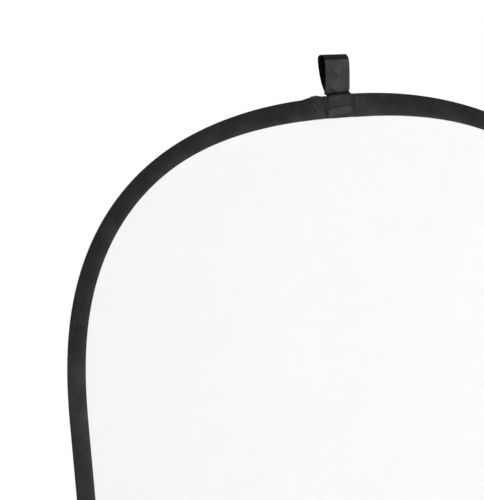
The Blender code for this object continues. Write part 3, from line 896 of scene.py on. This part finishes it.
# how far each leg stands out from the fold, at heights above it
FRONT_LEG = (
    (NECK_HALF, 0.0006), (0.0017, 0.0022), (0.0040, 0.0042), (0.0062, 0.0070), (0.0080, 0.0115),
    (0.0104, 0.0190), (0.0128, 0.0280), (0.0147, 0.0370), (0.0156, 0.0460), (0.0156, 0.0530),
    (0.0150, 0.0556), (0.0122, 0.0588), (0.0084, 0.0616), (0.0042, 0.0632), (0.0, 0.0636),
)
BACK_LEG = (
    (NECK_HALF, 0.0006), (0.0022, 0.0024), (0.0042, 0.0050), (0.0064, 0.0100), (0.0086, 0.0150),
    (0.0106, 0.0200), (0.0140, 0.0300), (0.0161, 0.0390), (0.0171, 0.0470), (0.0172, 0.0540),
    (0.0160, 0.0590), (0.0128, 0.0622), (0.0084, 0.0634), (0.0042, 0.0637), (0.0, 0.0636),
)
NECK_WIDENING = 0.0008  # the front leg spreads by this much each side at the fold
NECK_SET_OFF = -0.0014
BACK_SET_OFF = 0.0019  # and the back leg lies this far to the right of it there
NECK_SLANT = 0.024  # the fold lies lower on its left by this share of the width
NECK_DROP = 0.0004
TOP_SET_OFF = -0.0018
TOP_SLANT = 0.040  # the top of the loop stands higher on its left by this share of the width
SIDE_SEAM = 0.0195  # aside of the strap's middle
NECK_SEAM = 0.0036  # above the fold
STRAP_STITCH = 0.0036
STRAP_THREAD = 0.00052
STRAP_PITCH = 0.0009
STRAP_RELIEF = 0.00014
# the paler tone of the strap, for rubbed wear and for painted light
WORN_AND_LIT_STRAP = (0.085, 0.085, 0.086)
RIM_TOP = PANEL_CENTRE + HALF_STRAIGHT + END_RISE + CROWN_RISE
FOLD_Z = -LOOP_HEIGHT


def tail_half_path():
    """The back tail's middle line as (through, height), from inside its hem up to the fold."""
    layer = STRAP_THICKNESS + LAYER_GAP

    def on_face(inward):
        return float(tape_half(0.0, inward, TAIL_LIFT))

    hem = TAIL_REACH - HEM_LENGTH
    turn = TAIL_REACH - HEM_TURN
    points = [(on_face(inward), inward) for inward in np.linspace(hem + 0.001, turn, 10)]
    for angle in np.linspace(0.0, math.pi, 7)[1:-1]:
        out = layer / 2.0 * (1.0 - math.cos(angle))
        points.append((on_face(TAIL_REACH) + out, turn + layer / 2.0 * math.sin(angle)))
    for inward in np.linspace(turn, hem, 18):
        along = (inward - hem) / HEM_LENGTH
        bulge = 0.0004 * math.sin(math.pi * min(along * 1.3, 1.0)) + 0.0010 * along
        points.append((on_face(inward) + layer + bulge, inward))
    for share in (0.25, 0.5, 0.75):
        inward = hem - HEM_STEP * share
        points.append((on_face(inward) + layer * (1.0 - float(smooth(share))), inward))
    points += [(on_face(inward), inward) for inward in np.linspace(hem - HEM_STEP, BAND_INNER, 22)]
    for angle in np.linspace(0.0, math.pi / 2.0, 8)[1:]:
        points.append((BAND_HALF + TAIL_LIFT * math.cos(angle), BAND_OUTER - TAIL_LIFT * math.sin(angle)))
    top = BAND_OUTER - TAIL_LIFT
    for angle in np.linspace(0.0, math.pi / 2.0, 6):
        aside = NECK_HALF + NECK_ROUNDING * (1.0 - math.sin(angle))
        points.append((aside, top - NECK_ROUNDING * (1.0 - math.cos(angle))))
    return np.array([(through, RIM_TOP - inward) for through, inward in points])


def eased_curve(knots, steps):
    """A smooth curve through knots, with so many steps between each two."""
    knots = np.asarray(knots, float)
    slopes = np.gradient(knots, axis=0)
    t = np.arange(steps)[:, None] / steps
    pieces = []
    for first, second, leaving, arriving in zip(knots, knots[1:], slopes, slopes[1:]):
        pieces.append(
            (2.0 * t**3 - 3.0 * t**2 + 1.0) * first + (t**3 - 2.0 * t**2 + t) * leaving
            + (3.0 * t**2 - 2.0 * t**3) * second + (t**3 - t**2) * arriving
        )
    return np.concatenate(pieces + [knots[-1:]])


def strap_half(leg):
    """Half of the strap's middle line, from inside a hem up to the top of the loop."""
    return np.concatenate([TAIL_PATH, eased_curve(leg, 5) + (0.0, FOLD_Z)])


TAIL_PATH = tail_half_path()
STRAP_PATH = np.concatenate([strap_half(FRONT_LEG) * (-1.0, 1.0), strap_half(BACK_LEG)[-2::-1]])
STRAP_WALK = np.concatenate([[0.0], np.cumsum(np.linalg.norm(np.diff(STRAP_PATH, axis=0), axis=1))])
TURNED_ROWS = 15  # rows of the path, from each end, inside the turned-under hem
HEM_ROWS = 33  # and rows of the whole hem
TAIL_ROWS = len(TAIL_PATH)

# creases in the open loop: aside and above the fold where each starts and where it ends, then how
# wide and how high it is
FRONT_CREASES = (
    (-0.0150, 0.0100, -0.0030, 0.0015, 0.0016, -0.00090),
    (-0.0150, 0.0140, -0.0040, 0.0050, 0.0018, 0.00055),
    (-0.0140, 0.0450, -0.0020, 0.0260, 0.0018, -0.00055),
    (-0.0105, 0.0480, 0.0015, 0.0290, 0.0022, 0.00035),
    (0.0020, 0.0500, 0.0035, 0.0260, 0.0022, 0.00030),
    (0.0185, 0.0120, 0.0120, 0.0025, 0.0020, -0.00050),
)
BACK_CREASES = (
    (-0.0170, 0.0180, -0.0060, 0.0040, 0.0018, 0.00045),
    (0.0140, 0.0330, 0.0040, 0.0060, 0.0020, -0.00045),
    (-0.0030, 0.0480, -0.0100, 0.0230, 0.0024, 0.00025),
)
STRAP_CREASES = (FRONT_CREASES, BACK_CREASES)


def strap_folds(walked, aside, height, face):
    """How far the strap's surface stands out from its plain shape: soft creases and gathers."""
    above_rim = height - RIM_TOP
    above_fold = height - FOLD_Z
    soft = np.sin(aside * 330.0 + 2.0 * np.sin(walked * 60.0) + face)
    soft = 0.00012 * (soft + np.sin(aside * 150.0 - walked * 210.0 + 1.3 + face))
    folds = soft * smooth((LOOP_HEIGHT - 0.010 - above_fold) / 0.008)
    folds = folds + creases(aside, above_fold, STRAP_CREASES, face)
    if face > 0:
        upper = smooth((above_rim + 0.020) / 0.004) * smooth((0.001 - above_rim) / 0.004)
        gather = np.sin(aside * 1150.0 + 1.6 * np.sin(aside * 330.0) + 0.9 * np.sin(walked * 420.0))
        return folds + 0.00042 * upper * gather
    upper = smooth((above_rim + 0.019) / 0.003) * smooth((-0.002 - above_rim) / 0.003)
    return folds + 0.00016 * upper * np.sin(aside * 430.0 + walked * 260.0)


def near_fold(height, reach):
    """1 up to the fold line, falling to 0 over the reach above it."""
    return np.exp(-(np.maximum(height - FOLD_Z, 0.0) / reach) ** 2)


def part_way(ends, share):
    """A value a share of the way from the first end to the second."""
    return ends[0] + (ends[1] - ends[0]) * share


def strap_grid():
    """Outer and inner points of the strap in rows along it, and how far aside each column lies."""
    heading = np.gradient(STRAP_PATH, axis=0)
    heading /= np.linalg.norm(heading, axis=1, keepdims=True)
    through, height = STRAP_PATH[:, 0:1], STRAP_PATH[:, 1:2]
    walked = STRAP_WALK[:, None]
    tail = smooth((FOLD_Z + 0.0004 - height) / 0.0012)
    below = RIM_TOP - height
    low = smooth(below / 0.030)
    up = np.clip((height - FOLD_Z) / LOOP_HEIGHT, 0.0, 1.0)

    corner = np.array([0.0, 0.12, 0.34, 0.62, 1.0]) * STRAP_THICKNESS / 2.0
    loop_half_width = LOOP_HALF_WIDTH + NECK_WIDENING * near_fold(height, 0.012) * (through < 0.0)
    half_width = part_way((loop_half_width, part_way(TAIL_HALF_WIDTH, low)), tail)
    middle = np.linspace(-1.0, 1.0, 37) * (half_width - corner[-1])
    left = corner[:-1] - half_width
    aside = np.concatenate([left, middle, -left[:, ::-1]], axis=1)

    loop_set_off = part_way((TOP_SET_OFF, NECK_SET_OFF), (1.0 - up) ** 3)
    loop_set_off = loop_set_off + BACK_SET_OFF * near_fold(height, 0.012) * (through > 0.0)
    x = aside + part_way((loop_set_off, part_way(TAIL_SET_OFF, low)), tail)
    shift = (rim_line(x)[1] - RIM_TOP) * tail - TOP_SLANT * aside * smooth(up)
    shift = shift + (NECK_SLANT * aside - NECK_DROP) * near_fold(height, 0.008) * (1.0 - tail)
    front = (through < 0.0) & (height < FOLD_Z)
    slant = np.where(front, HEM_SLANT, -0.3 * HEM_SLANT) * aside + 0.00025 * np.sin(aside * 620.0 + 1.0)
    hem = smooth((below - 0.010) / 0.010) * (1.0 - 0.25 * smooth((below - 0.024) / 0.006))
    shift = shift + slant * hem * tail

    from_side = np.minimum(half_width - np.abs(aside), corner[-1]) / corner[-1]
    rounding = 0.1 + 0.9 * np.sqrt(np.clip(1.0 - (1.0 - from_side) ** 2, 0.0, 1.0))
    ends = np.minimum(walked, STRAP_WALK[-1] - walked)
    calm = smooth((ends - 0.011) / 0.004) * np.clip(from_side, 0.2, 1.0)
    folds = np.where(through < 0.0, *(strap_folds(walked, aside, height, face) for face in (-1.0, 1.0)))
    sides = []
    for out in (1.0, -1.0):
        reach = out * rounding * STRAP_THICKNESS / 2.0 + folds * calm
        depth, rise = through - heading[:, 1:2] * reach, height + shift + heading[:, 0:1] * reach
        sides.append(np.stack([x, depth, rise], axis=-1))
    return *sides, aside


def strap_object(outside, inside, aside):
    """The strap's closed mesh, rubbed pale on its hems and crease ridges, with painted shade over the loop's
    top, along the fold, the seams, the crease hollows and the inside, and painted light towards +X on the
    legs.
    """
    points = np.concatenate([outside, inside[:, ::-1]], axis=1)
    columns = np.concatenate([aside, aside[:, ::-1] + 0.05, aside[:, :1] + 0.1], axis=1)
    flat_map = np.stack([columns, np.broadcast_to(STRAP_WALK[:, None], columns.shape)], axis=-1)
    rows = np.arange(len(STRAP_PATH))
    above = STRAP_PATH[:, 1:2] - FOLD_Z
    hem = smooth((HEM_ROWS - np.minimum(rows, rows[-1] - rows)[:, None]) / 2.0)
    # Painted shade: the top of the loop is painted darker.
    top = smooth((above - 0.0535) / 0.0022)
    # Painted shadow in a narrow band along the fold where the legs leave the tails.
    fold = np.exp(-(np.maximum(np.abs(above + 0.0004) - 0.0014, 0.0) / 0.0014) ** 2)
    leg = smooth(above / 0.004)
    from_edge = np.abs(aside).max(axis=1, keepdims=True) - np.abs(aside)
    # Painted shadow along the tails' side seams, just in from their edges.
    seam = np.exp(-((from_edge - 0.0014) / 0.0009) ** 2) * (1.0 - leg)
    below = RIM_TOP - STRAP_PATH[:, 1:2]
    patch = 0.22 * np.exp(-((below - 0.0045) / 0.0030) ** 2) * np.exp(-((aside + 0.008) / 0.010) ** 2)
    # The legs and hems are paler; painted shade darkens the top of the loop, and painted shadow darkens the
    # fold.
    worn_and_lit = (0.33 + 0.19 * leg + 0.31 * hem) * (1.0 - 0.92 * top) * (1.0 - 0.95 * fold) + patch
    # Painted light: the legs are painted lighter towards +X, and painted shadow runs along the tails' side
    # seams.
    worn_and_lit = (worn_and_lit + 0.06 * leg * (1.0 - top) * aside / LOOP_HALF_WIDTH) * (1.0 - 0.35 * seam)
    raised = creases(aside, above, STRAP_CREASES, STRAP_PATH[:, 0:1])
    # Crease ridges are rubbed paler, and crease hollows get painted shade.
    worn_and_lit = worn_and_lit + 0.7 * CREASE_RUB_AND_SHADE * np.clip(raised / FULL_CREASE, -1.0, 1.0)
    # Painted shade: the strap's inside stays dark and is a little paler only low on the legs.
    inside_shade = 0.16 * smooth((0.034 - above) / 0.012) * leg
    wear_and_painted_light = np.concatenate([worn_and_lit, inside_shade * np.ones_like(aside)], axis=1)
    return cloth_object("hanging_strap", points, flat_map, wear_and_painted_light)


def surface_normals(grid):
    """Unit normals of a grid of points, on the side that the strap's outside faces."""
    normals = np.cross(np.gradient(grid, axis=1), np.gradient(grid, axis=0))
    size = np.linalg.norm(normals, axis=-1, keepdims=True)
    return normals / np.maximum(size, 1e-9)


def strap_rows(outside, aside):
    """Rows of stitches on the strap: across both hems and tails, up the sides, and at the neck."""
    normals = surface_normals(outside)
    last = len(STRAP_PATH) - 1
    inward = RIM_TOP - STRAP_PATH[:TAIL_ROWS, 1]
    turned_under = np.where(np.arange(TAIL_ROWS) < TURNED_ROWS, 1.0, 0.0)

    def row_at(reach):
        return int(np.argmin(np.abs(inward - reach) + turned_under))

    def column_at(place):
        return int(np.argmin(np.abs(aside[TAIL_ROWS // 2] - place)))

    rows = []
    sides = (column_at(-SIDE_SEAM), column_at(SIDE_SEAM))
    inside_edge = slice(sides[0], sides[1] + 1)
    hem, low, high = row_at(TAIL_REACH - HEM_LENGTH + 0.0022), row_at(TAIL_REACH - 0.0022), row_at(0.004)
    back_leg = np.where(STRAP_PATH[:, 0] > 0.0, 1.0, 0.0)
    neck = int(np.argmin(np.abs(STRAP_PATH[:, 1] - FOLD_Z - NECK_SEAM) + back_leg))
    for row in (hem, low, high, neck):
        for end in (row, last - row):
            rows.append((outside[end, inside_edge], normals[end, inside_edge]))
    for column in sides:
        for span in (slice(hem, high + 1), slice(last - high, last - hem + 1)):
            rows.append((outside[span, column], normals[span, column]))
    return rows


strap_outside, strap_inside, strap_aside = strap_grid()
strap = strap_object(strap_outside, strap_inside, strap_aside)
strap.data.materials.append(
    black_cloth("strap_cloth", (0.0045, 0.009), WORN_AND_LIT_STRAP, 0.0, STRAP_PITCH, 0.62, STRAP_RELIEF))
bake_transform(strap)
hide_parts("hang_loop", "loop_tail_front", "loop_tail_back")

strap_seam_rows = strap_rows(strap_outside, strap_aside)
strap_seams = thread_object("strap_seam_thread", strap_seam_rows, STRAP_STITCH, STRAP_THREAD)
strap_seams.data.materials.append(SEWING_THREAD)
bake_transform(strap_seams)

# ------------------------------------------------------------
# Studio: a pale floor under the panel, soft light all round, a large lamp before and another
# behind the panel, and the camera where the photograph was taken from.

AMBIENT = 0.24
FLOOR_Z = -1.66
FLOOR_RADIUS = 9.0
FOCAL_LENGTH = 144.0
SENSOR_WIDTH = 36.0
CAMERA_DISTANCE = 3.3525
CAMERA_YAW = math.radians(18.0)
CAMERA_PITCH = math.radians(3.33)
CAMERA_ROLL = math.radians(4.94)
# the photograph's focal length, its middle and the middle of the panel in it, in pixels
FOCAL_PIXELS = 2000.0
PHOTO_MIDDLE = (242.0, 250.0)
PANEL_MIDDLE = (374.9, 545.3)


def light_rays(tree):
    """1 for what the camera, a gloss reflection or clear material sees directly."""
    rays = add(tree, "LightPath", {}).outputs
    seen = calc(tree, "MAXIMUM", rays["Is Camera Ray"], rays["Is Glossy Ray"])
    return calc(tree, "MAXIMUM", seen, rays["Is Transmission Ray"])


def studio_world():
    world = bpy.data.worlds.new("studio")
    world.use_nodes = True
    tree = world.node_tree
    strength = between(tree, light_rays(tree), 0.0, 1.0, AMBIENT, 1.0)
    plug(tree, tree.nodes["Background"], {"Strength": strength, "Color": (1.0, 1.0, 1.0, 1.0)})
    bpy.context.scene.world = world


def studio_floor():
    angles = np.arange(96) * math.pi / 48.0
    edge = (FLOOR_RADIUS * np.cos(angles), FLOOR_RADIUS * np.sin(angles), np.full(96, FLOOR_Z))
    floor = mesh_object("studio_floor", np.stack(edge, axis=-1), [list(range(96))])
    material, tree, shader = new_material("floor_paper")
    place = place_of(tree)
    tooth = noise(tree, {"Vector": place, "Scale": 260.0, "Detail": 3.0})
    plug(tree, shader, {
        "Base Color": two_tone(tree, tooth, (0.86, 0.86, 0.86), (0.90, 0.90, 0.90)),
        "Roughness": 0.9,
        "Specular IOR Level": 0.1,
        "Normal": bump(tree, tooth, 0.0001),
    })
    glow = add(tree, "Emission", {"Color": (1.0, 1.0, 1.0, 1.0), "Strength": 1.0}).outputs[0]
    reach = add(tree, "VectorMath", {0: place}, operation="LENGTH").outputs["Value"]
    seen = calc(tree, "MULTIPLY", between(tree, reach, 0.8, 4.6, 0.35, 1.0), light_rays(tree))
    mixed = add(tree, "MixShader", {0: seen, 1: shader.outputs[0], 2: glow}).outputs[0]
    plug(tree, tree.nodes["Material Output"], {"Surface": mixed})
    floor.data.materials.append(material)


def studio_lamp(name, place, size, power):
    """A large square lamp that faces the middle of the panel."""
    lamp = bpy.data.lights.new(name, "AREA")
    lamp.shape = "SQUARE"
    lamp.size = size
    lamp.energy = power
    made = new_object(name, lamp)
    made.location = place
    aim = Vector((0.0, 0.0, PANEL_CENTRE + 0.3)) - Vector(place)
    made.rotation_euler = aim.to_track_quat("-Z", "Y").to_euler()


def studio_camera():
    """The camera that sees the panel turned, tilted and rolled as the photograph shows it."""
    turned = Matrix.Rotation(CAMERA_ROLL, 3, "Z") @ Matrix.Rotation(CAMERA_PITCH, 3, "X")
    turned = turned @ Matrix.Rotation(CAMERA_YAW, 3, "Y")
    right, down = (
        (panel - photo) / FOCAL_PIXELS * CAMERA_DISTANCE for panel, photo in zip(PANEL_MIDDLE, PHOTO_MIDDLE)
    )
    back = turned.transposed()
    stand = -(back @ Vector((right, -down, -CAMERA_DISTANCE)))
    upright = Matrix(((1.0, 0.0, 0.0), (0.0, 0.0, -1.0), (0.0, 1.0, 0.0)))
    camera = bpy.data.cameras.new("photo_camera")
    camera.lens = FOCAL_LENGTH
    camera.sensor_width = SENSOR_WIDTH
    camera.clip_end = 100.0
    made = new_object("photo_camera", camera)
    place = upright @ stand + Vector((0.0, 0.0, PANEL_CENTRE))
    made.matrix_world = Matrix.Translation(place) @ (upright @ back).to_4x4()
    bpy.context.scene.camera = made


studio_world()
studio_floor()
studio_lamp("key_lamp", (0.5, -3.8, -0.25), 2.6, 112.0)
studio_lamp("back_lamp", (-0.5, 3.8, -0.25), 4.6, 84.0)
studio_camera()
bpy.context.scene.view_settings.view_transform = "Standard"
